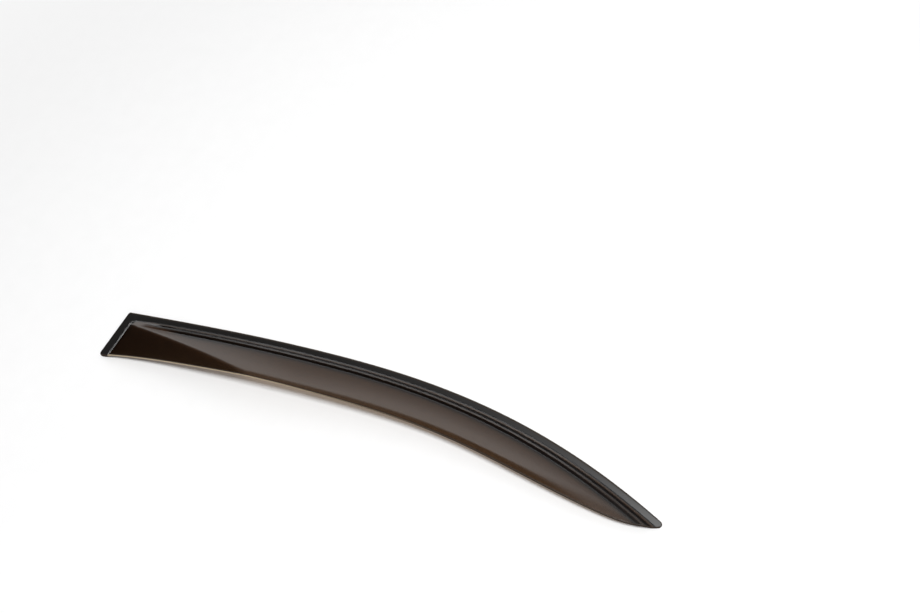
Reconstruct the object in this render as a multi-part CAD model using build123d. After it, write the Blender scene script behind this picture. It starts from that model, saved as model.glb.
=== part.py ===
from build123d import *
from math import atan2, cos, radians, sin, tan
import os

os.makedirs("parts", exist_ok=True)

# A stick-on rain deflector for a car's rear side window. It lies on its adhesive
# side: X runs from the square end to the tip, Y towards the arched top edge, and
# Z away from the door. Lengths are millimetres, angles are degrees.

# Plan outline of the blade
chord_length = 620.0  # square corner to rounded tip
arch_rise = 46.5  # how far the top edge bows out from that line
end_length = 58.6  # square end, across the chord
hip_width = 53.3  # blade width a fifth of the way to the tip
middle_width = 51.3
haunch_width = 47.2  # blade width two thirds of the way to the tip
shoulder_width = 42.5  # blade width where the lower edge turns to the tip
lower_start_angle = 15.7  # heading of the lower edge at the square end
tip_angle = 67.5  # between the two edges that meet at the tip
tip_rise = 0.8  # how far above the chord those edges would meet
tip_radius = 3.0
upper_corner_radius = 2.5
lower_corner_radius = 4.0

# Section of the moulding, from the outer edge inwards
wall = 2.5
flange_width = 7.9  # flat along the top edge, to the foot of the step
end_flange_width = 9.2
step_rise = 5.2
step_run = 4.6
ledge_width = 4.6  # flat shelf behind the step
end_ledge_width = 6.6
visor_angle = 31.0  # slope of the visor from the square end to mid length
tip_visor_angle = 6.5  # slope left at the tip
slope_fade_share = 0.63  # share of the top edge over which the slope dies away
hip_angle = 6.6  # ramp that closes the visor at the square end
foot_radius = 2.5
bead_radius = 3.0
corner_radius = 6.5  # step corner, seen in plan
crest_radius = 9.0  # ridge between visor and hip
gutter_radius = 4.0  # hollow between shelf and visor
least_radius = 0.5  # an inside corner is never sharper than this
edge_radius = 0.8  # outer edge all round the outline; the inner one stays sharp

# Double-sided foam tape under the flange
tape_width = 6.0
tape_thickness = 1.0
tape_margin = 0.7  # tape edge to flange edge
tape_gap = 0.5  # between the two strips
tape_end_share = 0.96  # where the long strip stops short of the tip

# Working values while the moulding is shaped
spare = 14.0  # stock round the outline
snap = 0.01  # heights nearer than this count as one

flange_bottom = tape_thickness
flange_top = flange_bottom + wall
step_lean = atan2(step_rise, step_run)
ledge_end = flange_width + step_run + ledge_width
end_ledge_end = end_flange_width + step_run + end_ledge_width
tip_overrun = tip_radius / sin(radians(tip_angle / 2)) - tip_radius
sharp_tip = Vector(chord_length + tip_overrun, tip_rise)


def heading(angle):
    """Unit vector in plan at an angle from the chord."""
    return Vector(cos(radians(angle)), sin(radians(angle)))


top_edge = Spline(
    (0, 0),
    (0.2 * chord_length, 0.454 * arch_rise),
    (0.4 * chord_length, 0.817 * arch_rise),
    (0.6 * chord_length, arch_rise),
    (0.8 * chord_length, 0.802 * arch_rise),
    (0.9 * chord_length, 0.5 * arch_rise),
    sharp_tip,
)
tape_start_share = upper_corner_radius / top_edge.length


def inward(share):
    """Unit vector in plan, square to the top edge and into the blade."""
    along = top_edge % share
    return Vector(along.Y, -along.X)


def inset_point(share, inset, overrun=0.0):
    """Plan point at a share of the top edge, set in from it, run on past its ends."""
    return top_edge @ share + (top_edge % share) * overrun + inward(share) * inset


def inset_edge(inset):
    """Curve parallel to the top edge, with spare length at both ends."""
    middle = [inset_point(share, inset) for share in (0, 0.2, 0.4, 0.6, 0.8, 1)]
    start = inset_point(0, inset, -spare)
    finish = inset_point(1, inset, spare)
    return Spline(start, *middle, finish, tangents=(top_edge % 0, top_edge % 1))


def outline_cutter():
    """Upright block with the blade's plan: arched top, free lower edge, square end."""
    lower_edge = Spline(
        (0, -end_length),
        inset_point(0.2, hip_width),
        inset_point(0.46, middle_width),
        inset_point(0.66, haunch_width),
        inset_point(0.82, shoulder_width),
        inset_point(0.92, 0.734 * shoulder_width),
        inset_point(0.97, 0.43 * shoulder_width),
        sharp_tip,
        tangents=(heading(lower_start_angle), (top_edge % 1).rotate(Axis.Z, tip_angle)),
    )
    square_end = Line((0, -end_length), (0, 0))
    plan = make_face([top_edge.edge(), lower_edge.edge(), square_end.edge()])
    cutter = extrude(plan, amount=3 * end_length)
    corners = (
        (Vector(0, 0), upper_corner_radius),
        (Vector(0, -end_length), lower_corner_radius),
        (sharp_tip, tip_radius),
    )
    for corner, radius in corners:
        upright = cutter.edges().filter_by(Axis.Z).sort_by_distance(corner)[0]
        cutter = fillet(upright, radius)
    return cutter


def stock(low, high):
    """Block that covers the outline with spare stock, between two heights."""
    left = -spare / 2
    right = chord_length + spare / 2
    front = -end_length - spare / 2
    back = arch_rise + spare / 2
    middle = Pos((left + right) / 2, (front + back) / 2, (low + high) / 2)
    return middle * Box(right - left, back - front, high - low)


def panel_outline(height, inset):
    """Plan of the raised panel at a height over the flange, for a skin set in by inset."""
    lean_in = height * step_run / step_rise + inset / sin(step_lean)
    edge = inset_edge(flange_width + lean_in)
    low = -end_length - 2 * spare
    far_sides = Polyline(edge @ 1, ((edge @ 1).X, low), ((edge @ 0).X, low), edge @ 0)
    panel = make_face([edge.edge(), *far_sides.edges()])
    end_strip = Pos(end_flange_width + lean_in, 0) * Rectangle(
        chord_length, 4 * end_length, align=(Align.MAX, Align.CENTER)
    )
    return Pos(0, 0, flange_top + height) * (panel - end_strip)


def raised_panel(inset):
    """Panel pushed up from the flange: leaning step, rounded corner, beaded rim, flat top."""
    outlines = [panel_outline(height, inset) for height in (-2 * wall, step_rise - inset)]
    panel = loft([outline.face() for outline in outlines], ruled=True)
    leaning = panel.edges().filter_by(lambda edge: edge.bounding_box().size.Z > wall)
    corner = leaning.sort_by(lambda edge: edge.center().X - edge.center().Y)[0]
    panel = fillet(corner, corner_radius - inset)
    rim = panel.faces().sort_by(Axis.Z)[-1].edges()
    rim = rim.sort_by(Axis.X)[:-1].sort_by(Axis.Y)[1:]
    return fillet(rim, max(bead_radius - inset, least_radius))


def shared_edges(faces, others):
    """Edges where two faces, or two groups of faces, meet, in order along the blade."""
    return (faces.edges() & others.edges()).sort_by(Axis.X)


def visor_slope(share):
    """Slope of the visor in radians, steady at first and dying away to the tip."""
    fade = min(1.0, (1 - share) / slope_fade_share)
    return radians(tip_visor_angle + (visor_angle - tip_visor_angle) * fade)


def visor_section(share, overrun, inset):
    """Section square to the top edge, under the line that climbs from the shelf."""
    slope = visor_slope(share)
    near = ledge_end - ledge_width / 2
    reach = end_length + arch_rise + 2 * spare

    def rise(distance):
        return step_rise + (distance - ledge_end) * tan(slope) - inset / cos(slope)

    across = inward(share)
    base = inset_point(share, 0, overrun) + Vector(0, 0, flange_top)
    plane = Plane(base, x_dir=across, z_dir=across.cross(Vector(0, 0, 1)))
    corners = ((near, -2 * wall), (reach, -2 * wall), (reach, rise(reach)), (near, rise(near)))
    return plane * Polygon(*corners, align=None)


def visor_roof(inset):
    """Solid under the sloping visor and under the hip ramp, with a rounded ridge between."""
    stations = ((0, -spare), (0.18, 0), (0.36, 0), (0.52, 0), (0.68, 0), (0.84, 0), (1, 4 * spare))
    visor = loft([visor_section(share, overrun, inset) for share, overrun in stations])

    slope = radians(hip_angle)
    near = end_ledge_end - end_ledge_width / 2
    far = chord_length + 6 * spare
    start = flange_top + step_rise - inset / cos(slope)
    low = flange_top - 2 * wall
    ramp_section = Plane.XZ * Polygon(
        (near, low),
        (far, low),
        (far, start + (far - end_ledge_end) * tan(slope)),
        (near, start + (near - end_ledge_end) * tan(slope)),
        align=None,
    )
    roof = visor & extrude(ramp_section, amount=4 * end_length, both=True)
    upper = roof.faces().filter_by(lambda face: face.normal_at().Z > 0.5)
    ramp, slope_face = upper.sort_by(lambda face: face.normal_at().X)
    return fillet(shared_edges(ramp, slope_face), crest_radius - inset)


def skin(inset):
    """Everything under the moulding's outer skin, or under its inner one at inset = wall."""
    body = raised_panel(inset) + visor_roof(inset)
    return body & stock(flange_top - 2 * wall, flange_top + 3 * end_length)


def face_at(body, height):
    """Largest level face of a body at a height."""
    level = body.faces().filter_by(Axis.Z)
    level = level.filter_by_position(Axis.Z, height - snap, height + snap)
    return level.sort_by(SortBy.AREA)[-1]


def visor_shell():
    """One moulding: flange, step, shelf, visor and hipped end at one wall thickness."""
    raised = skin(0)
    shelf = face_at(raised, flange_top + step_rise)
    slopes = raised.faces().filter_by(lambda face: 0.5 < face.normal_at().Z < 0.999)
    climbing = slopes.filter_by(lambda face: face.center().Z > flange_top + step_rise)
    raised = fillet(shared_edges(shelf, climbing), gutter_radius)

    body = raised + stock(flange_bottom, flange_top)
    body = split(body, bisect_by=Plane.XY.offset(flange_bottom), keep=Keep.TOP)
    flange = face_at(body, flange_top)
    steps = body.faces().filter_by(lambda face: 0.1 < face.normal_at().Z < 0.99)
    body = fillet(shared_edges(flange, steps), foot_radius)

    shell = body - skin(wall)
    seat = face_at(shell, flange_bottom)
    inner_steps = shell.faces().filter_by(lambda face: -0.99 < face.normal_at().Z < -0.1)
    shell = fillet(shared_edges(seat, inner_steps), foot_radius + wall)
    blade = (shell & outline_cutter()).solid()
    sides = blade.faces().filter_by(lambda face: abs(face.normal_at().Z) < 0.001)
    outer_skin = blade.faces().filter_by(lambda face: face.normal_at().Z > 0.2)
    return fillet(shared_edges(sides, outer_skin), edge_radius)


def long_tape():
    """Tape strip under the top flange, from the square end to just short of the tip."""
    shares = (tape_start_share, 0.3, 0.6, 0.8, tape_end_share)

    def side(inset):
        along = [inset_point(share, inset) for share in shares]
        return Spline(*along, tangents=(top_edge % shares[0], top_edge % shares[-1]))

    outer = side(tape_margin)
    inner = side(tape_margin + tape_width)
    ends = [Line(outer @ 0, inner @ 0).edge(), Line(outer @ 1, inner @ 1).edge()]
    return extrude(make_face([outer.edge(), inner.edge(), *ends]), amount=tape_thickness)


def end_tape():
    """Short tape strip under the end flange, butted below the long one."""
    high = inset_point(tape_start_share, tape_margin + tape_width).Y - tape_gap
    low = lower_corner_radius - end_length
    strip = Rectangle(tape_width, high - low, align=(Align.MIN, Align.MIN))
    return extrude(Pos(tape_margin, low) * strip, amount=tape_thickness)


pieces = {"visor": visor_shell(), "top_tape": long_tape(), "end_tape": end_tape()}
middle = pieces["visor"].bounding_box().center()
to_origin = Pos(-middle.X, -middle.Y)
for name, piece in pieces.items():
    solid = (to_origin * piece).solid()
    solid.label = name
    export_step(solid, f"parts/{name}.step")
    print(name, "volume", round(solid.volume, 1), "valid", solid.is_valid)
print("shift", round(middle.X, 3), round(middle.Y, 3))
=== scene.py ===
import math

import bmesh
import bpy
import numpy as np
from mathutils import Matrix, Vector


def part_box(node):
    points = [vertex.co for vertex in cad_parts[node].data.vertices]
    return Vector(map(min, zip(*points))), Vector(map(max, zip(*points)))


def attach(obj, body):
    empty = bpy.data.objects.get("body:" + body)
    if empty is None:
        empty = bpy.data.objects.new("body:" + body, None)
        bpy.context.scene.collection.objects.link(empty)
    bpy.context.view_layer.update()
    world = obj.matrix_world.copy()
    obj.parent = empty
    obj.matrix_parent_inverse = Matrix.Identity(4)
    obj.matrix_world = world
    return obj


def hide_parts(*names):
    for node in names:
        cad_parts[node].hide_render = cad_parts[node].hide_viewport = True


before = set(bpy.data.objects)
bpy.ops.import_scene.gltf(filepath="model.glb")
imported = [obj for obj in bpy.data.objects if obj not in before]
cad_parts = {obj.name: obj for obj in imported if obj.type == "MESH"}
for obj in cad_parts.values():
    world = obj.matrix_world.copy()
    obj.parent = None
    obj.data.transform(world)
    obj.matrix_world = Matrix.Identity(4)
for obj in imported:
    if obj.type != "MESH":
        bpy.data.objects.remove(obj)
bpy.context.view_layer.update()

# The visor: one sheet of smoked acrylic about 2.5 mm thick, formed hot over a mould, so that the taping
# flange, the step, the ledge, the raised slope and the hipped square end are one skin. It is routed to its
# arched outline, which leaves a matte edge, and the tape under its frosted flange holds it to the car.
mm = 0.001
visor_low, visor_high = (np.array(corner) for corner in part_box("visor"))

# Plan outline: shares of the chord and of the arch's rise for the top edge, and for the lower edge shares
# of the top edge's length with the width of the visor there.
chord_length = 620 * mm
arch_rise = 46.5 * mm
top_edge_shape = ((0.2, 0.454), (0.4, 0.817), (0.6, 1.0), (0.8, 0.802), (0.9, 0.5))
end_length = 58.6 * mm
shoulder_width = 42.5 * mm
lower_edge_shape = ((0.2, 53.3 * mm), (0.46, 51.3 * mm), (0.66, 47.2 * mm), (0.82, shoulder_width),
                    (0.92, 0.734 * shoulder_width), (0.97, 0.43 * shoulder_width))
lower_start_angle = math.radians(15.7)
lower_start_pull = 0.9756
lower_end_pull = 0.7433
tip_angle = math.radians(67.5)
tip_rise = 0.8 * mm
tip_radius = 3.0 * mm
tip_reach = 5.6 * mm
upper_corner_radius = 2.5 * mm
lower_corner_radius = 4.0 * mm
edge_points = 4001
arc_middle = 40


def smooth_line(points, start=None, end=None):
    """Points along the smooth line through the given ones: between each two lies a cubic that meets its
    neighbours with the same slope and curvature, counted by the straight distance from point to point.
    An end slope that isn't given is that of the cubic through the four points at that end."""
    p = np.array(points, float)
    t = np.r_[0, np.cumsum(np.linalg.norm(np.diff(p, axis=0), axis=1))]
    if start is None:
        start = np.linalg.solve(np.vander(t[:4] - t[0], increasing=True), p[:4])[1]
    if end is None:
        end = np.linalg.solve(np.vander(t[-4:] - t[-1], increasing=True), p[-4:])[1]
    h = np.diff(t)
    rise = np.diff(p, axis=0) / h[:, None]
    system = np.diag(np.r_[1, 2 * (h[1:] + h[:-1]), 1])
    system += np.diag(np.r_[0, h[:-1]], 1) + np.diag(np.r_[h[1:], 0], -1)
    middle = 3 * (h[1:, None] * rise[:-1] + h[:-1, None] * rise[1:])
    slope = np.linalg.solve(system, np.vstack([start, middle, end]))
    at = np.linspace(0, t[-1], edge_points)
    k = np.clip(np.searchsorted(t, at, "right") - 1, 0, len(h) - 1)
    w = ((at - t[k]) / h[k])[:, None]
    step = h[k][:, None]
    return ((1 + 2 * w) * (1 - w) ** 2 * p[k] + w * (1 - w) ** 2 * step * slope[k]
            + w ** 2 * (3 - 2 * w) * p[k + 1] + w ** 2 * (w - 1) * step * slope[k + 1])


def lengths(line):
    """Distance along a line of points, from its first one."""
    return np.r_[0, np.cumsum(np.linalg.norm(np.diff(line, axis=0), axis=1))]


def point_at(line, distance):
    """Points at the given distances along a line of points."""
    along = lengths(line)
    return np.stack([np.interp(distance, along, line[:, 0]), np.interp(distance, along, line[:, 1])], -1)


def unit(vector):
    """The vector at length one."""
    return vector / np.linalg.norm(vector)


def turned(vector, angle):
    """The plan vector turned to the left by the angle."""
    c, s = math.cos(angle), math.sin(angle)
    return np.array([c * vector[0] - s * vector[1], s * vector[0] + c * vector[1]])


tip_overrun = tip_radius / math.sin(tip_angle / 2) - tip_radius
sharp_tip = np.array([chord_length + tip_overrun, tip_rise])
top_points = [(along * chord_length, rise * arch_rise) for along, rise in top_edge_shape]
top_edge = smooth_line([(0, 0)] + top_points + [sharp_tip])
top_length = lengths(top_edge)[-1]
top_start = unit(top_edge[1] - top_edge[0])
top_finish = unit(top_edge[-1] - top_edge[-2])


def below_top(share, width):
    """The point at a share of the top edge's length, moved square to the edge towards the window."""
    look_ahead = 0.0005
    here, ahead = point_at(top_edge, np.array([share, share + look_ahead]) * top_length)
    return here + width * turned(unit(ahead - here), -math.pi / 2)


lower_points = [below_top(share, width) for share, width in lower_edge_shape]
lower_edge = smooth_line([(0, -end_length)] + lower_points + [sharp_tip],
                         lower_start_pull * turned(np.array([1.0, 0.0]), lower_start_angle),
                         lower_end_pull * turned(top_finish, tip_angle))


def corner_arc(corner, one_way, other_way, radius):
    """The arc that rounds a corner between lines that leave it along two unit vectors. Its centre lies
    radius / sin(half the angle) from the corner on the line that halves the angle, and it touches both
    lines radius / tan(half the angle) from the corner. Gives centre, reach, and its points in order."""
    half = math.acos(np.dot(one_way, other_way)) / 2
    centre = corner + unit(one_way + other_way) * radius / math.sin(half)
    reach = radius / math.tan(half)
    first, last = corner + one_way * reach - centre, corner + other_way * reach - centre
    sweep = math.pi - 2 * half
    at = np.linspace(0, 1, 2 * arc_middle + 1)[:, None]
    points = centre + (np.sin((1 - at) * sweep) * first + np.sin(at * sweep) * last) / math.sin(sweep)
    return centre, reach, points


end_up = np.array([0.0, 1.0])
lower_start = unit(lower_edge[1] - lower_edge[0])
upper_corner = corner_arc(top_edge[0], -end_up, top_start, upper_corner_radius)
lower_corner = corner_arc(lower_edge[0], end_up, lower_start, lower_corner_radius)
tip_ways = [unit(point_at(edge, lengths(edge)[-1] - tip_reach) - sharp_tip)
            for edge in (top_edge, lower_edge)]
tip_corner = corner_arc(sharp_tip, *tip_ways, tip_radius)


def edge_chain(edge, corner, tip_half):
    """The later half of a corner's arc, the edge without the stretches that its two arcs take the place of,
    and one half of the tip's arc."""
    plain = point_at(edge, np.linspace(corner[1], lengths(edge)[-1] - tip_corner[1], edge_points))
    return np.vstack([corner[2][arc_middle:], plain[1:-1], tip_half])


top_chain = edge_chain(top_edge, upper_corner, tip_corner[2][:arc_middle + 1])
lower_chain = edge_chain(lower_edge, lower_corner, tip_corner[2][:arc_middle - 1:-1])
end_chain = np.vstack([upper_corner[2][arc_middle::-1], lower_corner[2][:arc_middle + 1]])


def foot_on(line, x, y):
    """For each point, its distance inwards from a line that runs along X, and the distance along the
    line of the foot of that perpendicular. The foot's X is found by repeating
    foot += ((x - foot) + (y - line y) * slope) / (1 + slope squared), with the line's values at the foot."""
    overrun = 100 * mm
    rounds = 8
    before = line[0] - unit(line[1] - line[0]) * overrun
    after = line[-1] + unit(line[-1] - line[-2]) * overrun
    longer = np.vstack([before, line, after])
    slope_line = np.gradient(longer[:, 1], longer[:, 0])
    along = lengths(longer) - overrun
    foot = x.copy()
    for _ in range(rounds):
        slope = np.interp(foot, longer[:, 0], slope_line)
        foot += ((x - foot) + (y - np.interp(foot, longer[:, 0], longer[:, 1])) * slope) / (1 + slope ** 2)
    gap_y = y - np.interp(foot, longer[:, 0], longer[:, 1])
    distance = np.hypot(x - foot, gap_y) * np.sign(gap_y)
    return distance, np.interp(foot, longer[:, 0], along)


def rim_gap(x, y):
    """Distance of each plan point inwards from the outline: the least of the distances from the top edge,
    the lower edge and the square end, and next to a rounded corner the arc's radius less the distance
    from its centre."""
    hair = 1e-9
    gap = np.minimum(np.minimum(-foot_on(top_edge, x, y)[0], foot_on(lower_edge, x, y)[0]), x)
    for (centre, _, points), radius in ((upper_corner, upper_corner_radius),
                                        (lower_corner, lower_corner_radius), (tip_corner, tip_radius)):
        axis = unit(points[arc_middle] - centre)
        spread = np.dot(unit(points[0] - centre), axis)
        dx, dy = x - centre[0], y - centre[1]
        away = np.hypot(dx, dy)
        gap = np.where(dx * axis[0] + dy * axis[1] > spread * away - hair, radius - away, gap)
    return np.maximum(gap, 0)


# Section: flange, step, ledge and slope, counted from the top edge or from the square end.
wall = 2.5 * mm
flange_width = 7.9 * mm
end_flange_width = 11.5 * mm
step_rise = 5.2 * mm
step_run = 4.6 * mm
foot_radius = 4.0 * mm
inner_foot_radius = 5.0 * mm
bead_radius = 5.0 * mm
least_bead_radius = 0.5 * mm
foot_start = -1.45 * mm
foot_end = 1.15 * mm
bead_start = 3.95 * mm
bead_end = 6.3 * mm
ease_share = 0.8
ease_radius = 1.2 * mm
face_radius = 0.8 * mm


def soft_least(a, b, blend):
    """The smaller of two heights, with the crease between them rounded over the blend height:
    least - (blend - difference) squared / (4 blend) where the difference is under blend."""
    return np.minimum(a, b) - np.maximum(blend - np.abs(a - b), 0) ** 2 / (4 * blend)


def step_height(p, inset):
    """Height of the stepped edge at a distance p past the foot of the step: flat flange, an arc of the
    foot's radius, a straight lean, an arc of the bead's radius and a level ledge. For the inner skin the
    whole line is set off by inset, and its bead arc is tighter."""
    lean = math.atan2(step_rise, step_run)
    foot = inner_foot_radius if inset else foot_radius
    bead = max(bead_radius - inset, least_bead_radius)
    q = p - inset * math.tan(lean / 2)
    foot_reach, bead_reach = foot * math.tan(lean / 2), bead * math.tan(lean / 2)
    low_arc = foot - np.sqrt(np.maximum(foot ** 2 - np.clip(q + foot_reach, 0, foot) ** 2, 0))
    from_top = np.clip(step_run + bead_reach - q, 0, bead)
    high_arc = step_rise - bead + np.sqrt(np.maximum(bead ** 2 - from_top ** 2, 0))
    height = np.where(q < foot_reach * math.cos(lean), low_arc, q * math.tan(lean))
    height = np.where(q > step_run - bead_reach * math.cos(lean), high_arc, height)
    return height - inset


def eased_step(p, lean):
    """Height of the outer skin's step along the top edge, at a distance p past its foot: flat flange, a foot
    and a bead that both lie at the given lean, a steep face from the one to the other, and a level ledge.
    Each crease is rounded over a blend height of its radius times the difference of the two slopes squared,
    halved."""
    incline = np.tan(lean)
    foot = (p - foot_start) * incline
    bead = step_rise - (bead_end - p) * incline
    face_foot = (foot_end - foot_start) * incline
    steep = (step_rise - (bead_end - bead_start) * incline - face_foot) / (bead_start - foot_end)
    face = face_foot + (p - foot_end) * steep
    ease_blend = ease_radius * incline ** 2 / 2
    face_blend = face_radius * (steep - incline) ** 2 / 2
    rising = -soft_least(-soft_least(face, bead, face_blend), -foot, face_blend)
    level = np.full_like(p, step_rise)
    return soft_least(-soft_least(-rising, np.zeros_like(p), ease_blend), level, ease_blend)


def climb(height, inset, slope, blend):
    """A surface that leaves the flat at height 0 and follows the given height above it, with a round hollow
    between. The inner skin lies inset below the outer one, measured square to the slope."""
    return -soft_least(inset * (1 / np.cos(slope) - 1) - height, np.zeros_like(height), blend)


# Raised part: the slope with its crown and its turned lip, the hip's ramp and the crest between the two.
ledge_end = 17.1 * mm
ledge_start = 15 * mm
ledge_full = 95 * mm
foot_share = 0.15
end_ledge_end = 20.4 * mm
visor_angle = math.radians(31)
tip_visor_angle = math.radians(6.5)
slope_fade_share = 0.63
slope_fade_blend = 0.04
hip_angle = math.radians(6.6)
hip_blend = 0.02 * mm
plan_corner_radius = 6.5 * mm
gutter_radius = 2.0 * mm
least_gutter_blend = 0.02 * mm
crest_radius = 4.0 * mm
crest_start = 2 * mm
least_crest_blend = 0.001 * mm
crown_turn = math.radians(6.6)
least_slope_width = 1 * mm
lip_width = 5.5 * mm
lip_turn = math.radians(10)
lip_blend = 0.25 * mm
lip_least_width = 25 * mm
lip_growth = 11 * mm

# Masks of the finish: where a darker tint paints shade on the step, the ledge and part of the hip, and where
# a tan strip of painted light lies along the lower cut edge.
mask_edge = 0.4 * mm
crest_edge = 2 * mm
unshaded_run = 1.5 * mm
hip_unshaded = 0.54
painted_light_reach = 0.45 * mm
painted_light_edge = 0.3 * mm
painted_light_run = 4 * mm
painted_light_end = 420 * mm
painted_light_fade = 220 * mm


def held(share):
    """A share kept between 0 and 1."""
    return np.clip(share, 0, 1)


def eased(share):
    """A share kept between 0 and 1 and eased at both ends: its square times 3 less twice itself."""
    return held(share) ** 2 * (3 - 2 * held(share))


def past(distance, width):
    """How far a distance has gone past zero, from 0 to 1 over a width with zero at its middle."""
    return held(distance / width + 0.5)


def skin_height(x, y, inset):
    """Height of the outer skin over the flange's top, or of the inner one at inset = wall. With it come the
    distance past the foot of the step, a tint mask that is low where a darker tint paints shade, and a mask
    of painted light along the lower edge.
    From the top edge rises the visor: step, ledge and slope, which fades towards the tip. Near the corner
    the step and the ledge sink into the slope, whose foot is then one facet. From the square end rise a
    step, a ledge and the hip's ramp. The lower of the two counts, with a round crest.
    Round the plan corner both distances lose min(a, b) - radius + distance from the corner's centre."""
    distance, along = foot_on(top_edge, x, y)
    lip = foot_on(lower_edge, x, y)[0]
    round_plan = plan_corner_radius - inset
    a, b = -distance - flange_width, x - end_flange_width
    inside = np.hypot(np.maximum(round_plan - a, 0), np.maximum(round_plan - b, 0))
    cut = np.where((a < round_plan) & (b < round_plan), np.minimum(a, b) - round_plan + inside, 0)
    a, b = a - cut, b - cut

    fade = soft_least((1 - along / top_length) / slope_fade_share, np.ones_like(x), slope_fade_blend)
    slope = tip_visor_angle + (visor_angle - tip_visor_angle) * held(fade)
    past_ledge = a + flange_width - ledge_end
    slope_width = past_ledge + lip
    t = held(past_ledge / np.maximum(slope_width, least_slope_width))
    crown = slope_width * t * (1 - t) * math.tan(crown_turn)
    turn = soft_least((lip - lip_width) * math.tan(lip_turn), np.zeros_like(x), lip_blend)
    turn *= held((a + lip - lip_least_width) / lip_growth)
    raised = past_ledge * np.tan(slope) + crown + turn

    lean = slope * ease_share
    gutter_blend = np.maximum(gutter_radius * np.tan(slope) ** 2 / 2, least_gutter_blend)
    step = step_height(a, inset) if inset else eased_step(a, lean)
    stepped = step + climb(raised, inset, slope, gutter_blend)
    plain = climb(raised + step_rise, inset, slope, gutter_blend) - inset
    ledge_share = eased((x - ledge_start) / (ledge_full - ledge_start))
    plain_start = ledge_end - flange_width - step_rise / math.tan(visor_angle)
    start = plain_start + (foot_start - plain_start) * held(ledge_share / foot_share)
    if not inset:
        facet = climb((a - start) * np.tan(lean), inset, lean, ease_radius * np.tan(lean) ** 2 / 2)
        plain = -soft_least(-plain, -facet, gutter_blend)
    from_top = plain + (stepped - plain) * ledge_share

    hip_rise = (x - end_ledge_end) * math.tan(hip_angle)
    from_end = step_height(b, inset) + climb(hip_rise, inset, hip_angle, hip_blend)
    crest_blend = crest_radius * (np.tan(slope) ** 2 + math.tan(hip_angle) ** 2) / 2
    crest_blend = np.maximum(crest_blend * held((from_top + inset) / crest_start), least_crest_blend)
    height = soft_least(from_top, from_end, crest_blend)

    past_foot = np.minimum(a - start + foot_start, b)
    on_slope = past(from_end - from_top, crest_edge)
    on_foot = past(a - foot_start, mask_edge) * past(foot_end - a, mask_edge)
    on_bead = past(a - bead_start, mask_edge) * past(bead_end - a, mask_edge)
    # Painted shade: this mask is 0 on the step and the ledge and about half on the hip, where a darker tint
    # stands in for their shade; the slope and the facets of the foot and the bead keep the sheet's own tint.
    past_start = past_ledge + (ledge_end - flange_width) * (1 - ledge_share)
    unshaded = on_slope * np.maximum(held(past_start / unshaded_run), on_foot + on_bead)
    unshaded += (1 - on_slope) * hip_unshaded
    # Painted light: a tan strip along the lower cut edge stands in for the light that comes through the
    # sheet. It runs from near the square end and fades out before the middle.
    painted_light = held((painted_light_reach - lip) / painted_light_edge) * held((x - end_flange_width) / painted_light_run)
    painted_light *= held((painted_light_end - along) / painted_light_fade)
    return height, past_foot, unshaded, painted_light


# Grid: each run is its first and last distance in mm and its number of lines, and the tip's last columns
# are shares of the top edge.
rim_rows = np.array([0, 0.05, 0.15, 0.3, 0.52, 0.8]) * mm
row_runs = ((2.5, 2.5, 1), (4.5, 6.0, 2), (6.4, 9.4, 15), (9.8, 11.0, 4), (11.2, 14.0, 14), (14.5, 15.3, 2),
            (15.9, 18.5, 7))
slope_rows = 28
column_runs = ((0.8, 30, 60), (30, 170, 110), (170, 560, 130), (560, 628, 96))
tip_columns = (0.9984, 0.9991, 0.99955, 0.99982, 1.0)
least_grid_width = 30 * mm
end_pull = 40 * mm


def visor_plan():
    """Plan grid of the visor. Column i joins the points at one share of the top chain and of the lower
    chain; row j lies at its own distance below the top, close-set at the foot, the bead, the gutter and
    both rims, and all rows are drawn together where the blade narrows. At the square end the columns are
    pulled onto the end's own line with its rounded corners, and the pull fades over a short stretch."""
    chain_length = lengths(top_chain)[-1]
    columns = np.r_[rim_rows, np.concatenate([np.linspace(*run)[1:] for run in column_runs]) * mm]
    share = np.unique(held(np.r_[columns / chain_length, tip_columns]))
    upper = point_at(top_chain, share * chain_length)
    lower = point_at(lower_chain, share * lengths(lower_chain)[-1])
    width = np.maximum(np.linalg.norm(lower - upper, axis=1), least_grid_width)[:, None]
    rows = np.r_[rim_rows, np.concatenate([np.linspace(*run) for run in row_runs]) * mm]
    on_slope = rows[-1] + (width - rows[-1] - rim_rows[-1]) * np.linspace(0, 1, slope_rows)[None, 1:]
    depth = np.hstack([np.tile(rows, (len(width), 1)), on_slope, width - rim_rows[None, -2::-1]])
    cross = depth / width
    plan = upper[:, None] + cross[..., None] * (lower - upper)[:, None]
    end_line = point_at(end_chain, cross[0] * lengths(end_chain)[-1])
    pull = eased(1 - share * chain_length / end_pull)
    plan += pull[:, None, None] * (end_line - plan[0])[None]
    return plan[..., 0], plan[..., 1]


def grid_faces(rows, columns, first, flip=False):
    """Four-sided faces of a grid of points whose numbers start at first; flip turns them over."""
    number = first + np.arange(rows * columns).reshape(rows, columns)
    quads = np.stack([number[:-1, :-1], number[1:, :-1], number[1:, 1:], number[:-1, 1:]], -1).reshape(-1, 4)
    return quads[:, ::-1] if flip else quads


def mesh_piece(name, points, faces):
    """A smooth-shaded mesh object from points and faces."""
    mesh = bpy.data.meshes.new(name)
    mesh.from_pydata(points.tolist(), [], faces.tolist())
    mesh.shade_smooth()
    piece = bpy.data.objects.new(name, mesh)
    bpy.context.scene.collection.objects.link(piece)
    return piece


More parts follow.
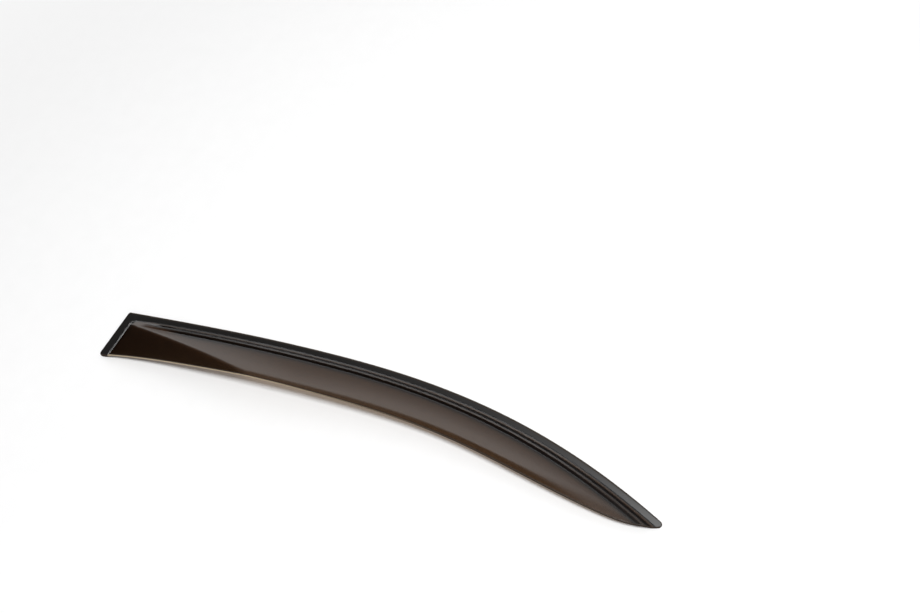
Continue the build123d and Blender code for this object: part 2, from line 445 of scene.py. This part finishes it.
def close_up(piece, sharp_angle):
    """Merges doubled points, so that seams and poles close, turns the faces outwards and keeps edges over
    the sharp angle crisp."""
    merge_reach = 0.002 * mm
    sliver = 0.0005 * mm
    shape = bmesh.new()
    shape.from_mesh(piece.data)
    bmesh.ops.remove_doubles(shape, verts=shape.verts, dist=merge_reach)
    bmesh.ops.dissolve_degenerate(shape, edges=shape.edges, dist=sliver)
    bmesh.ops.recalc_face_normals(shape, faces=shape.faces)
    shape.to_mesh(piece.data)
    shape.free()
    piece.data.set_sharp_from_angle(angle=sharp_angle)


# Shell: the outer skin with its eased rim, the inner skin, and the routed edge that joins them.
rim_radius = 0.8 * mm
routed_width = 1.1 * mm
routed_edge = 0.3 * mm
visor_sharp_angle = math.radians(40)

plan_x, plan_y = visor_plan()
outer, past_foot, unshaded, painted_light = skin_height(plan_x, plan_y, 0.0)
inner = skin_height(plan_x, plan_y, wall)[0]
gap = rim_gap(plan_x, plan_y)
on_rim = rim_radius - np.minimum(gap, rim_radius)
outer -= rim_radius - np.sqrt(rim_radius ** 2 - on_rim ** 2)
flange_top = visor_low[2] + wall
shift_y = visor_high[1] - top_edge[:, 1].max()
columns_n, rows_n = plan_x.shape
skin_size = columns_n * rows_n
visor_points = np.concatenate([
    np.stack([plan_x + visor_low[0], plan_y + shift_y, skin + flange_top], -1).reshape(-1, 3)
    for skin in (outer, inner)])
number = np.arange(skin_size).reshape(columns_n, rows_n)
rim_loop = np.concatenate([number[::-1, 0], number[0, 1:], number[1:, -1]])
visor_faces = np.concatenate([
    grid_faces(columns_n, rows_n, 0, flip=True), grid_faces(columns_n, rows_n, skin_size),
    np.stack([rim_loop[:-1], rim_loop[1:], rim_loop[1:] + skin_size, rim_loop[:-1] + skin_size], -1)])
visor = mesh_piece("visor_shell", visor_points, visor_faces)
routed = held((routed_width - gap) / routed_edge)
frosted = np.maximum(past(foot_start - past_foot, mask_edge), routed)
for name, values in (("frosted", frosted), ("routed", routed), ("unshaded", unshaded), ("painted_light", painted_light)):
    mask = visor.data.attributes.new(name, "FLOAT", "POINT")
    mask.data.foreach_set("value", np.tile(values.ravel(), 2).astype(np.float32))
close_up(visor, visor_sharp_angle)

# Finish: the sheet's own tint, a darker tint that paints shade on the step, the ledge and part of the hip,
# the black of the flange over its tape, the brown of the routed edge with a tan strip of painted light, and
# the mould's ripples in the gloss.
# Painted shade: the first tint is darker than the sheet's own and paints the shade on the step, the ledge
# and part of the hip.
painted_shade_tint = (0.15, 0.11, 0.08, 1)
sheet_tint = (0.43, 0.346, 0.262, 1)
tint_swing = 0.05
flange_black = (0.0045, 0.0037, 0.0033, 1)
routed_brown = (0.042, 0.032, 0.026, 1)
# Painted light: the tan of the light that comes through the sheet, painted on the lower cut edge.
painted_tan_light = (0.50, 0.41, 0.29, 1)
clear_gloss = (1, 1, 1, 1)
acrylic_index = 1.49
polished_roughness = 0.05
frosted_roughness = 0.38
cloud_scale = 30.0
ripple_scale = 260.0
ripple_share = 0.6
frost_scale = 3500.0
ripple_strength = 0.06
ripple_depth = 0.04 * mm


def node(tree, kind, at, **values):
    """A shader node at a place, with values set on its input sockets by name."""
    made = tree.nodes.new(kind)
    made.location = at
    for name, value in values.items():
        made.inputs[name.replace("_", " ")].default_value = value
    return made


def maths(tree, operation, at, *values):
    """The outcome of a Math node; each value is another node's output or a plain number."""
    made = node(tree, "ShaderNodeMath", at)
    made.operation = operation
    for socket, value in zip(made.inputs, values):
        if isinstance(value, float):
            socket.default_value = value
        else:
            tree.links.new(value, socket)
    return made.outputs[0]


def point_mask(tree, at, name):
    """A mask that is stored on the points of the mesh."""
    made = node(tree, "ShaderNodeAttribute", at)
    made.attribute_name = name
    return made.outputs["Fac"]


def ranged(tree, at, value, levels, span=(0.0, 1.0), smooth=False):
    """The first level to the last as a value goes over its span, straight or eased at both ends."""
    made = node(tree, "ShaderNodeMapRange", at, From_Min=span[0], From_Max=span[1],
                To_Min=levels[0], To_Max=levels[1])
    if smooth:
        made.interpolation_type = "SMOOTHSTEP"
    tree.links.new(value, made.inputs["Value"])
    return made.outputs["Result"]


def two_tones(tree, at, value, low, high, span=(0.0, 1.0)):
    """One colour to another as a value goes over its span."""
    made = node(tree, "ShaderNodeValToRGB", at)
    for stop, position, colour in zip(made.color_ramp.elements, span, (low, high)):
        stop.position = position
        stop.color = colour
    tree.links.new(value, made.inputs["Fac"])
    return made.outputs["Color"]


def shader_mix(tree, at, share, first, second):
    """Two shaders mixed by the second one's share."""
    made = node(tree, "ShaderNodeMixShader", at)
    for socket, value in zip(made.inputs, (share, first, second)):
        tree.links.new(value, socket)
    return made.outputs[0]


def mottle_group():
    """Shader group for an uneven surface: noise in octaves, each finer and weaker than the one before it by
    the roughness, summed at a place and put out as a mask about one half."""
    group = bpy.data.node_groups.new("mottle", "ShaderNodeTree")
    group.interface.new_socket("Place", in_out="INPUT", socket_type="NodeSocketVector")
    for name in ("Scale", "Detail", "Roughness"):
        group.interface.new_socket(name, in_out="INPUT", socket_type="NodeSocketFloat")
    group.interface.new_socket("Mask", in_out="OUTPUT", socket_type="NodeSocketFloat")
    given = node(group, "NodeGroupInput", (-300, 0))
    noise = node(group, "ShaderNodeTexNoise", (0, 0))
    put_out = node(group, "NodeGroupOutput", (300, 0))
    group.links.new(given.outputs["Place"], noise.inputs["Vector"])
    for name in ("Scale", "Detail", "Roughness"):
        group.links.new(given.outputs[name], noise.inputs[name])
    group.links.new(noise.outputs["Fac"], put_out.inputs["Mask"])
    return group


mottle = mottle_group()


def mottled(tree, at, place, scale, detail, roughness=0.5):
    """The mottle group placed in a material with its own values."""
    made = tree.nodes.new("ShaderNodeGroup")
    made.node_tree = mottle
    made.location = at
    tree.links.new(place, made.inputs["Place"])
    for name, value in (("Scale", scale), ("Detail", detail), ("Roughness", roughness)):
        made.inputs[name].default_value = value
    return made.outputs["Mask"]


def smoked_acrylic():
    """Smoked acrylic: a tinted see-through sheet under a clear gloss that follows Fresnel's law. The tint
    wanders a little with the sheet's thickness, and fine ripples of the mould break the gloss. Where a mask
    is low, a darker tint paints the shade on the step, the ledge and part of the hip. The flange is frosted
    and black over its tape, and the routed edge is matte, with a tan strip of painted light along the lower
    edge."""
    material = bpy.data.materials.new("smoked_acrylic")
    material.use_nodes = True
    tree = material.node_tree
    tree.nodes.clear()
    link = tree.links.new
    place = node(tree, "ShaderNodeTexCoord", (-1100, 0)).outputs["Object"]
    frosted = point_mask(tree, (-1100, -300), "frosted")
    unshaded = point_mask(tree, (-1100, 300), "unshaded")
    routed = point_mask(tree, (-200, 750), "routed")
    painted_light = point_mask(tree, (-250, 1150), "painted_light")

    cloud = node(tree, "ShaderNodeTexNoise", (-1100, 550), Scale=cloud_scale, Detail=3.0, Roughness=0.5)
    link(place, cloud.inputs["Vector"])
    thinning = ranged(tree, (-850, 500), cloud.outputs["Fac"], (-tint_swing, tint_swing))
    # Painted shade: the tint goes from the sheet's own to a darker one where the mask paints shade.
    tint_share = maths(tree, "ADD", (-700, 350), unshaded, thinning)
    clear = node(tree, "ShaderNodeBsdfTransparent", (-250, 250))
    link(two_tones(tree, (-550, 250), tint_share, painted_shade_tint, sheet_tint), clear.inputs["Color"])

    matte = two_tones(tree, (-250, 900), routed, flange_black, routed_brown)
    # Painted light: the tan strip is mixed into the routed edge's matte colour.
    routed_colour_and_painted_light = node(tree, "ShaderNodeMix", (0, 1000))
    routed_colour_and_painted_light.data_type = "RGBA"
    link(painted_light, routed_colour_and_painted_light.inputs["Factor"])
    link(matte, routed_colour_and_painted_light.inputs["A"])
    routed_colour_and_painted_light.inputs["B"].default_value = painted_tan_light
    backed = node(tree, "ShaderNodeBsdfDiffuse", (0, 150))
    link(routed_colour_and_painted_light.outputs["Result"], backed.inputs["Color"])
    body = shader_mix(tree, (200, 200), frosted, clear.outputs[0], backed.outputs[0])

    ripple = mottled(tree, (-850, -50), place, ripple_scale, detail=2.0)
    frost = mottled(tree, (-850, -550), place, frost_scale, detail=2.0, roughness=0.6)
    frost_height = maths(tree, "MULTIPLY", (-600, -450), frost, frosted)
    height = maths(tree, "MULTIPLY_ADD", (-400, -300), ripple, ripple_share, frost_height)
    bump = node(tree, "ShaderNodeBump", (-200, -300), Strength=ripple_strength, Distance=ripple_depth)
    link(height, bump.inputs["Height"])
    gloss = node(tree, "ShaderNodeBsdfGlossy", (0, -100), Color=clear_gloss)
    rough = ranged(tree, (-600, -150), frosted, (polished_roughness, frosted_roughness))
    link(rough, gloss.inputs["Roughness"])
    link(bump.outputs["Normal"], gloss.inputs["Normal"])

    fresnel = node(tree, "ShaderNodeFresnel", (0, 300), IOR=acrylic_index)
    link(bump.outputs["Normal"], fresnel.inputs["Normal"])
    side = node(tree, "ShaderNodeNewGeometry", (-200, 500))
    outside = maths(tree, "SUBTRACT", (0, 500), 1.0, side.outputs["Backfacing"])
    polished = maths(tree, "SUBTRACT", (100, 650), outside, routed)
    polished.node.use_clamp = True
    mirror = maths(tree, "MULTIPLY", (200, 400), fresnel.outputs["Fac"], polished)
    whole = shader_mix(tree, (400, 100), mirror, body, gloss.outputs[0])
    output = node(tree, "ShaderNodeOutputMaterial", (600, 100))
    link(whole, output.inputs["Surface"])
    return material


visor.data.materials.append(smoked_acrylic())
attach(visor, "root")
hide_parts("visor")

# The top tape: a strip of black closed-cell foam, 6 mm wide and 1 mm thick, with adhesive on both faces.
# It is die-cut, laid by hand under the flange along the arched top edge, and sticks the visor to the car.
tape_width = 6 * mm
tape_thickness = 1 * mm
tape_hollow = 0.06 * mm
tape_margin = 0.7 * mm
tape_end_share = 0.96
tape_columns = 260
tape_face_points = 13
tape_side_points = 5
tape_cap_rings = 4
tape_sharp_angle = math.radians(50)
foam_dark = (0.011, 0.011, 0.012, 1)
foam_light = (0.024, 0.024, 0.026, 1)
foam_drift = (0.35, 0.7)
foam_drift_scale = 220.0
foam_roughness = (0.78, 0.95)
foam_cell_scale = 3200.0
foam_cell_strength = 0.5
foam_cell_depth = 0.12 * mm


def tape_strip(name, path, side):
    """A strip of foam tape: a flat section whose sides go in by a half sine between the two glued faces,
    carried along a plan path, and closed at each end by a cap drawn in to the section's middle."""
    over = np.linspace(0, 1, tape_face_points)
    beside = np.linspace(0, 1, tape_side_points + 2)[1:-1]
    across = np.r_[over, np.ones(tape_side_points), over[::-1], np.zeros(tape_side_points)]
    up = np.r_[np.zeros(tape_face_points), beside, np.ones(tape_face_points), beside[::-1]]
    hollow = tape_hollow * np.sin(np.pi * up)
    reach = across * tape_width + np.where(across > 0.5, -hollow, hollow)
    count = len(path)
    points = np.concatenate([
        path[:, None] + reach[None, :, None] * side[:, None],
        np.tile(up[None, :, None] * tape_thickness, (count, 1, 1))], -1)
    middle = np.concatenate([path + side * tape_width / 2, np.full((count, 1), tape_thickness / 2)], -1)
    inward = np.linspace(1, 0, tape_cap_rings + 1)[1:, None, None]
    first_cap = middle[0] + (points[0] - middle[0]) * inward[::-1]
    last_cap = middle[-1] + (points[-1] - middle[-1]) * inward
    points = np.concatenate([first_cap, points, last_cap])
    points = np.concatenate([points, points[:, :1]], 1)
    points += (visor_low[0], shift_y, visor_low[2] - tape_thickness)
    strip = mesh_piece(name, points.reshape(-1, 3), grid_faces(points.shape[0], points.shape[1], 0))
    close_up(strip, tape_sharp_angle)
    return strip


def foam_tape():
    """Closed-cell foam: nearly black and matte, pitted with fine cells, with a slow drift of colour and
    sheen along the strip."""
    material = bpy.data.materials.new("foam_tape")
    material.use_nodes = True
    tree = material.node_tree
    link = tree.links.new
    foam = tree.nodes["Principled BSDF"]
    place = node(tree, "ShaderNodeTexCoord", (-900, 0)).outputs["Object"]
    drift = mottled(tree, (-700, 150), place, foam_drift_scale, detail=4.0)
    link(two_tones(tree, (-450, 200), drift, foam_dark, foam_light, foam_drift), foam.inputs["Base Color"])
    link(ranged(tree, (-450, -50), drift, foam_roughness), foam.inputs["Roughness"])
    cells = node(tree, "ShaderNodeTexVoronoi", (-700, -200), Scale=foam_cell_scale)
    link(place, cells.inputs["Vector"])
    bump = node(tree, "ShaderNodeBump", (-250, -250), Strength=foam_cell_strength, Distance=foam_cell_depth)
    link(cells.outputs["Distance"], bump.inputs["Height"])
    link(bump.outputs["Normal"], foam.inputs["Normal"])
    return material


tape_run = np.linspace(upper_corner_radius, tape_end_share * top_length, tape_columns)
tape_path = point_at(top_edge, tape_run)
tape_ahead = np.gradient(tape_path, axis=0)
tape_ahead /= np.linalg.norm(tape_ahead, axis=1)[:, None]
tape_side = np.stack([tape_ahead[:, 1], -tape_ahead[:, 0]], -1)
top_tape = tape_strip("top_tape_strip", tape_path + tape_side * tape_margin, tape_side)
foam = foam_tape()
top_tape.data.materials.append(foam)
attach(top_tape, "root")
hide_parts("top_tape")

# The end tape: a short piece of the same foam strip under the flange of the square end. It is cut to butt
# the top tape with a small gap, and stops short of the lower corner.
end_tape_columns = 30
end_low, end_high = (np.array(corner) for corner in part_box("end_tape"))
end_run = np.linspace(end_high[1], end_low[1], end_tape_columns)
end_path = np.stack([np.full(end_tape_columns, end_high[0] - visor_low[0]), end_run - shift_y], -1)
end_side = np.tile(np.array([-1.0, 0.0]), (end_tape_columns, 1))
end_tape = tape_strip("end_tape_strip", end_path, end_side)
end_tape.data.materials.append(foam)
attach(end_tape, "root")
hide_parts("end_tape")

# The floor: a broad sheet of white backdrop paper, matte and flat, that the visor lies on. Far from the
# part the camera sees it at the one even level of the backdrop, so that no horizon shows.
floor_radius = 9.0
floor_points_n = 96
paper_dark = (0.86, 0.86, 0.86, 1)
paper_light = (0.89, 0.89, 0.89, 1)
paper_roughness = 0.9
paper_sheen = 0.1
fibre_scale = 40.0
even_light = (1, 1, 1, 1)
even_span = (0.5, 1.3)
backdrop_level = 0.95


def backdrop_paper():
    """White paper: matte, with a very faint fibre mottle, and for the camera an even level that comes in
    with the distance from the part."""
    material = bpy.data.materials.new("backdrop_paper")
    material.use_nodes = True
    tree = material.node_tree
    link = tree.links.new
    paper = tree.nodes["Principled BSDF"]
    paper.inputs["Roughness"].default_value = paper_roughness
    paper.inputs["Specular IOR Level"].default_value = paper_sheen
    place = node(tree, "ShaderNodeTexCoord", (-900, 0)).outputs["Object"]
    fibre = mottled(tree, (-700, 0), place, fibre_scale, detail=5.0)
    link(two_tones(tree, (-450, 0), fibre, paper_dark, paper_light), paper.inputs["Base Color"])
    away = node(tree, "ShaderNodeVectorMath", (-700, -300))
    away.operation = "LENGTH"
    link(place, away.inputs[0])
    far = ranged(tree, (-450, -300), away.outputs["Value"], (0.0, 1.0), even_span, smooth=True)
    seen = node(tree, "ShaderNodeLightPath", (-450, -600))
    share = maths(tree, "MULTIPLY", (-200, -400), far, seen.outputs["Is Camera Ray"])
    even = node(tree, "ShaderNodeEmission", (0, -400), Color=even_light, Strength=backdrop_level)
    whole = shader_mix(tree, (350, 0), share, paper.outputs[0], even.outputs[0])
    link(whole, tree.nodes["Material Output"].inputs["Surface"])
    return material


floor_turn = np.linspace(0, 2 * np.pi, floor_points_n + 1)[:-1]
floor_rim = np.stack([np.cos(floor_turn), np.sin(floor_turn), np.zeros(floor_points_n)], -1)
floor = mesh_piece("floor", floor_rim * floor_radius, np.arange(floor_points_n)[None])
floor.data.materials.append(backdrop_paper())
floor.visible_glossy = False

# The studio: a dark room with one long soft band of light, which starts low behind the square end and leans
# up over the tip, a low pale wall beyond the square end and a dim front. A square soft light hangs high on
# the right, and behind it all the camera sees a plain pale backdrop.
band_axis = (-0.700, -0.140, 0.700)
band_levels = ((0.0, 0.30), (0.24, 0.36), (0.30, 0.42), (0.34, 0.44), (0.39, 0.55), (0.46, 0.92),
               (0.52, 1.12), (0.57, 0.8), (0.63, 0.31), (0.68, 0.12), (0.76, 0.10), (0.82, 0.06),
               (0.90, 0.03), (1.0, 0.0))
low_strength = 1.25
high_strength = 2.25
high_share = 0.45
side_level = 3.0
front_level = 0.35
room_level = 0.012
horizon_span = (-0.04, 0.03)
back_span = (0.0, 0.16)
high_span = (0.80, 0.90)
side_span = (-0.93, -0.80)
side_top_span = (0.2, 0.35)
front_span = (-0.4, -0.1)
key_place = (0.95, 0.02, 3.0)
key_size = 0.75
key_power = 84
world = bpy.data.worlds.new("studio")
world.use_nodes = True
room = world.node_tree


def room_ramp(at, value, span, levels=(0.0, 1.0)):
    """A smooth change of the room's light as one part of the direction goes over its span."""
    return ranged(room, at, value, levels, span, smooth=True)


way = node(room, "ShaderNodeTexCoord", (-1200, 0)).outputs["Generated"]
parts = node(room, "ShaderNodeSeparateXYZ", (-1000, 200))
room.links.new(way, parts.inputs[0])
way_x, way_y, way_z = parts.outputs
facing = node(room, "ShaderNodeVectorMath", (-1000, 0))
facing.operation = "DOT_PRODUCT"
facing.inputs[1].default_value = band_axis
room.links.new(way, facing.inputs[0])
band = node(room, "ShaderNodeValToRGB", (-800, 0))
band.color_ramp.interpolation = "B_SPLINE"
stops = band.color_ramp.elements
while len(stops) < len(band_levels):
    stops.new(0.5)
for stop, (position, level) in zip(stops, band_levels):
    stop.position = position
    stop.color = (level, level, level, 1)
room.links.new(facing.outputs["Value"], band.inputs["Fac"])

rising = room_ramp((-800, 250), way_z, (0.0, 1.0), (low_strength, high_strength))
behind = room_ramp((-800, 500), way_y, back_span)
overhead = room_ramp((-800, 750), way_z, high_span, (1.0, high_share))
glow = maths(room, "MULTIPLY", (-500, 100), band.outputs["Color"], rising)
glow = maths(room, "MULTIPLY", (-350, 100), glow, behind)
glow = maths(room, "MULTIPLY", (-250, 100), glow, overhead)
side_edge = room_ramp((-800, -300), way_x, side_span, (1.0, 0.0))
side_top = room_ramp((-800, -550), way_z, side_top_span, (side_level, 0.0))
side = maths(room, "MULTIPLY", (-500, -400), side_edge, side_top)
front = room_ramp((-800, -800), way_y, front_span, (front_level, 0.0))
glow = maths(room, "ADD", (-200, 0), glow, side)
glow = maths(room, "ADD", (-50, 0), glow, front)
above_floor = room_ramp((-800, -1050), way_z, horizon_span)
glow = maths(room, "MULTIPLY", (100, 0), glow, above_floor)
glow = maths(room, "ADD", (250, 0), glow, room_level)
lit_room = room.nodes["Background"]
lit_room.location = (450, 0)
lit_room.inputs["Color"].default_value = even_light
room.links.new(glow, lit_room.inputs["Strength"])
wall_paper = node(room, "ShaderNodeBackground", (450, -200), Color=even_light, Strength=backdrop_level)
seen = node(room, "ShaderNodeLightPath", (450, 350)).outputs["Is Camera Ray"]
whole_room = shader_mix(room, (650, 0), seen, lit_room.outputs[0], wall_paper.outputs[0])
room_output = room.nodes["World Output"]
room_output.location = (850, 0)
room.links.new(whole_room, room_output.inputs["Surface"])
bpy.context.scene.world = world

key_data = bpy.data.lights.new("key", "AREA")
key_data.shape = "RECTANGLE"
key_data.size = key_size
key_data.size_y = key_size
key_data.energy = key_power
key = bpy.data.objects.new("key", key_data)
key.location = key_place
key.rotation_euler = (-Vector(key_place)).to_track_quat("-Z", "Y").to_euler()
key.visible_camera = False
bpy.context.scene.collection.objects.link(key)

# The camera: a wide lens about 0.6 m above the floor near the tip, turned a little about its own axis. Its
# place, its turns and its lens were worked out from the outline of the piece in the photograph.
camera_place = (0.267768, -0.121015, 0.592255)
camera_turns = ((38.806, "Z"), (29.903, "X"), (-16.845, "Z"))
lens_length = 24.84
sensor_width = 36
nearest_seen = 10 * mm
camera_data = bpy.data.cameras.new("camera")
camera_data.lens = lens_length
camera_data.sensor_width = sensor_width
camera_data.clip_start = nearest_seen
camera = bpy.data.objects.new("camera", camera_data)
stand = Matrix.Translation(camera_place)
for degrees, axis in camera_turns:
    stand = stand @ Matrix.Rotation(math.radians(degrees), 4, axis)
camera.matrix_world = stand
bpy.context.scene.collection.objects.link(camera)
bpy.context.scene.camera = camera
bpy.context.scene.view_settings.view_transform = "Standard"
